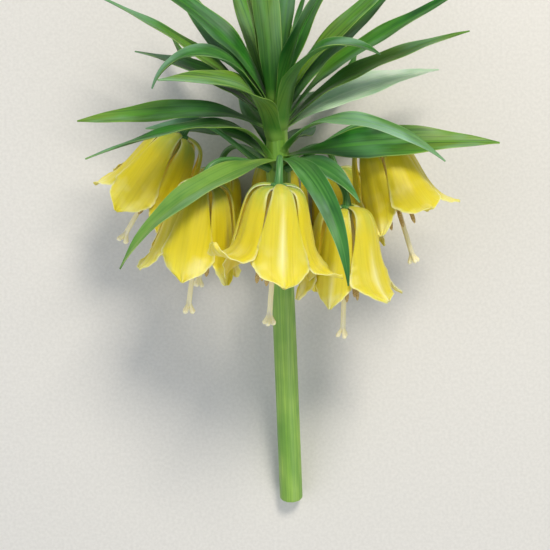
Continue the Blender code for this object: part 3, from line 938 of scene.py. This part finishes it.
# The next three hanging leaves get a lighter, cooler green with more wax, partly a painted sheen.
leaf_bloom_and_sheen = leaf_skin(
    "leaf_bloom_and_sheen_skin",
    foot="#3C7530", deep="#225826", body="#37792B", painted_sunlight="#62903E",
    vein="#629A4C", wax_and_sheen="#A2CAB0", margin="#BCD8A0", gloss=0.46,
)
# One crown leaf gets a silver copy of the skin all over: partly a whole coat of wax, mostly a
# painted sky sheen.
leaf_wax_and_sheen = leaf_skin(
    "leaf_wax_and_sheen_skin",
    foot="#86B264", deep="#86B488", body="#B2D4AC", painted_sunlight="#BDD6A4",
    vein="#CFE4C4", wax_and_sheen="#EEF5E8", margin="#E6F0D6", gloss=0.42,
)


def leaf_rows(length, width, rises, swing, roll, wave):
    """Rows of points across one leaf, and its two maps. Z is straight out and Y is up the stem."""
    rows, columns = LEAF_GRID[0] + 1, LEAF_GRID[1] + 1
    t = np.linspace(0, 1, rows)
    rise = np.radians(through(((0, rises[0]), (0.3, rises[1]), (1, rises[2])), t))
    turn = np.radians(swing * t)
    out, up = np.cos(rise), np.sin(rise)
    ahead = np.stack([np.sin(turn) * out, up, np.cos(turn) * out], axis=-1)
    side = np.stack([np.cos(turn), 0 * t, -np.sin(turn)], axis=-1)
    spot = np.concatenate([[(0, 0, 0)], np.cumsum(ahead[:-1], axis=0)]) * length / LEAF_GRID[0]
    face = np.cross(ahead, side)
    twist = LEAF_TWIST * math.sin(9 * wave) * np.maximum(0, t - 0.3)
    turn = np.radians(roll * np.minimum(1, t / 0.4) + twist)[:, None]
    straight, across = np.cos(turn), np.sin(turn)
    side, face = side * straight + face * across, face * straight - side * across
    half = (through(LEAF_OUTLINE, t) * width / 2)[:, None]
    channel = LEAF_CHANNEL * np.minimum(1, 0.3 + 2 * t)[:, None]
    t = t[:, None]
    w = np.linspace(1, -1, columns)[None, :]
    count, high = PLEATS
    pleats = high * np.cos(count * np.pi * w) * np.minimum(1, 5 * t) * (1 - t)
    high, pitch = WAVES
    phase = 2 * np.pi * (t * length / pitch + wave + 0.2 * np.sign(w))
    wavy = high * w**2 * np.sin(phase) * np.minimum(1, 3 * t)
    lift = channel * half * np.abs(w) ** 1.3 + pleats + wavy * (1 - t) ** 0.5
    points = spot[:, None] + side[:, None] * (w * half)[..., None] + face[:, None] * lift[..., None]
    outline = blade_map((w + 1) / 2, t, lift.shape)
    # Each leaf takes its own stretch of the patterns.
    grain = blade_map(w * half + 331 * wave, t * length + 97 * wave, lift.shape)
    share, wider, radius = CLASP
    clasp = np.maximum(0, 1 - t / share) ** 2
    points[..., 0] *= 1 + wider * clasp
    points[..., 2] -= clasp * points[..., 0] ** 2 / (2 * radius)
    feet = [points[0] * (narrow, 1, 1) - (0, fall, sink) for fall, sink, narrow in FOOT_ROWS]
    points = np.concatenate([np.array(feet), points])
    outline = np.concatenate([outline[:1]] * len(FOOT_ROWS) + [outline])
    low = grain[:1] - np.array([(0, fall) for fall, _, _ in FOOT_ROWS])[:, None]
    grain = np.concatenate([low, grain])
    return points, outline, grain


def build_leaf(name, skins, wave, bearing, height, length, width, rises, swing, roll):
    """One leaf at its bearing and height on the stem."""
    stem_side = float(through(STEM_RADIUS, height))
    out = stem_side + GAP + LEAF_THICK / 2 * math.sin(math.radians(rises[0])) + LEAF_CLEAR
    turned = Matrix.Rotation(math.radians(bearing), 4, "Y")
    foot = Matrix.Translation(stem_centre(height) * MM)
    rows, outline, grain = leaf_rows(length, width, rises, swing, roll, wave)
    rows = placed(rows, plant @ foot @ turned @ Matrix.Translation((0, 0, out * MM)))
    rows = clear_of_table(rows, LEAF_THICK / 2)
    return build_piece(name, [blade(rows, LEAF_THICK, outline, grain)], skins, sharp=BLADE_SHARP)


# Hanging leaf 1 wears the painted-light copy; leaves 2 to 4 wear the copy with more wax and painted
# sheen.
HANGING_SKINS = {1: leaf_painted_light, 2: leaf_bloom_and_sheen, 3: leaf_bloom_and_sheen, 4: leaf_bloom_and_sheen}
for number, leaf in enumerate(UMBEL_LEAVES, 1):
    above = HANGING_SKINS.get(number, leaf_above)
    made = build_leaf(f"hanging_leaf_{number}", (above, leaf_below), 0.37 * number, *leaf)
    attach(made, "root")
    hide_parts(f"umbel_leaf_{number}")

# ---------------------------------------------------------------- crown leaves
# The tuft over the flowers is the top of the same stem: its leaves crowd upward, each rising
# more steeply than the one below it, and the last stand nearly straight.
CROWN_LEAVES = (
    (-90, 21.0, 112, 17, (30, 4, -6), 0, -30),
    (117, 21.8, 112, 20.5, (32, 18, 5), 0, 40),
    (-170, 22.5, 112, 19, (40, 8, 58), 0, 0),
    (150, 24.0, 112, 19, (38, -2, 62), 0, 0),
    (-138, 24.5, 110, 18, (40, 12, 55), 0, 0),
    (-108, 27.0, 92, 17, (50, 28, 10), 0, -30),
    (-24, 17.5, 97, 25, (78, 33, 0), -42, -30),
    (85, 26.5, 128, 17, (60, 38, 30), 2, 25),
    (28, 23.0, 96, 21, (80, 56, -26), 34, 30),
    (176, 30.0, 100, 17, (60, 40, 50), 0, 0),
    (122, 31.0, 115, 15, (55, 42, 35), 0, 30),
    (-122, 33.0, 105, 16, (60, 42, 68), 0, -30),
    (-56, 30.0, 92, 20, (62, 46, -68), -20, -25),
    (102, 35.0, 110, 12, (68, 48, 42), 0, 30),
    (-98, 37.5, 112, 17, (68, 48, 24), -2, -35),
    (-153, 36.0, 100, 16, (72, 54, 50), 0, -10),
    (-178, 43.5, 95, 15, (78, 62, 46), 0, 0),
    (138, 39.0, 98, 13, (74, 58, 48), -4, 10),
    (26, 36.0, 90, 14, (78, 66, 50), 50, 20),
    (84, 42.0, 88, 13, (82, 76, 78), 0, 0),
    (-112, 42.0, 88, 12, (80, 76, 72), 0, 0),
    (-24, 39.0, 100, 17, (84, 80, 84), -20, 0),
    (-97, 28.3, 122, 12, (52, 38, 24), 0, -25),
    (102, 23.5, 124, 13, (48, 29, 13), 0, 30),
    (30, 44.0, 90, 13, (86, 80, 74), 10, 0),
)
WAX_AND_SHEEN_LEAF = 2
for number, leaf in enumerate(CROWN_LEAVES, 1):
    skins = (leaf_wax_and_sheen, leaf_wax_and_sheen) if number == WAX_AND_SHEEN_LEAF else (leaf_above, leaf_below)
    made = build_leaf(f"tuft_leaf_{number:02d}", skins, 0.61 * number, *leaf)
    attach(made, "root")
    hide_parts(f"crown_leaf_{number:02d}")
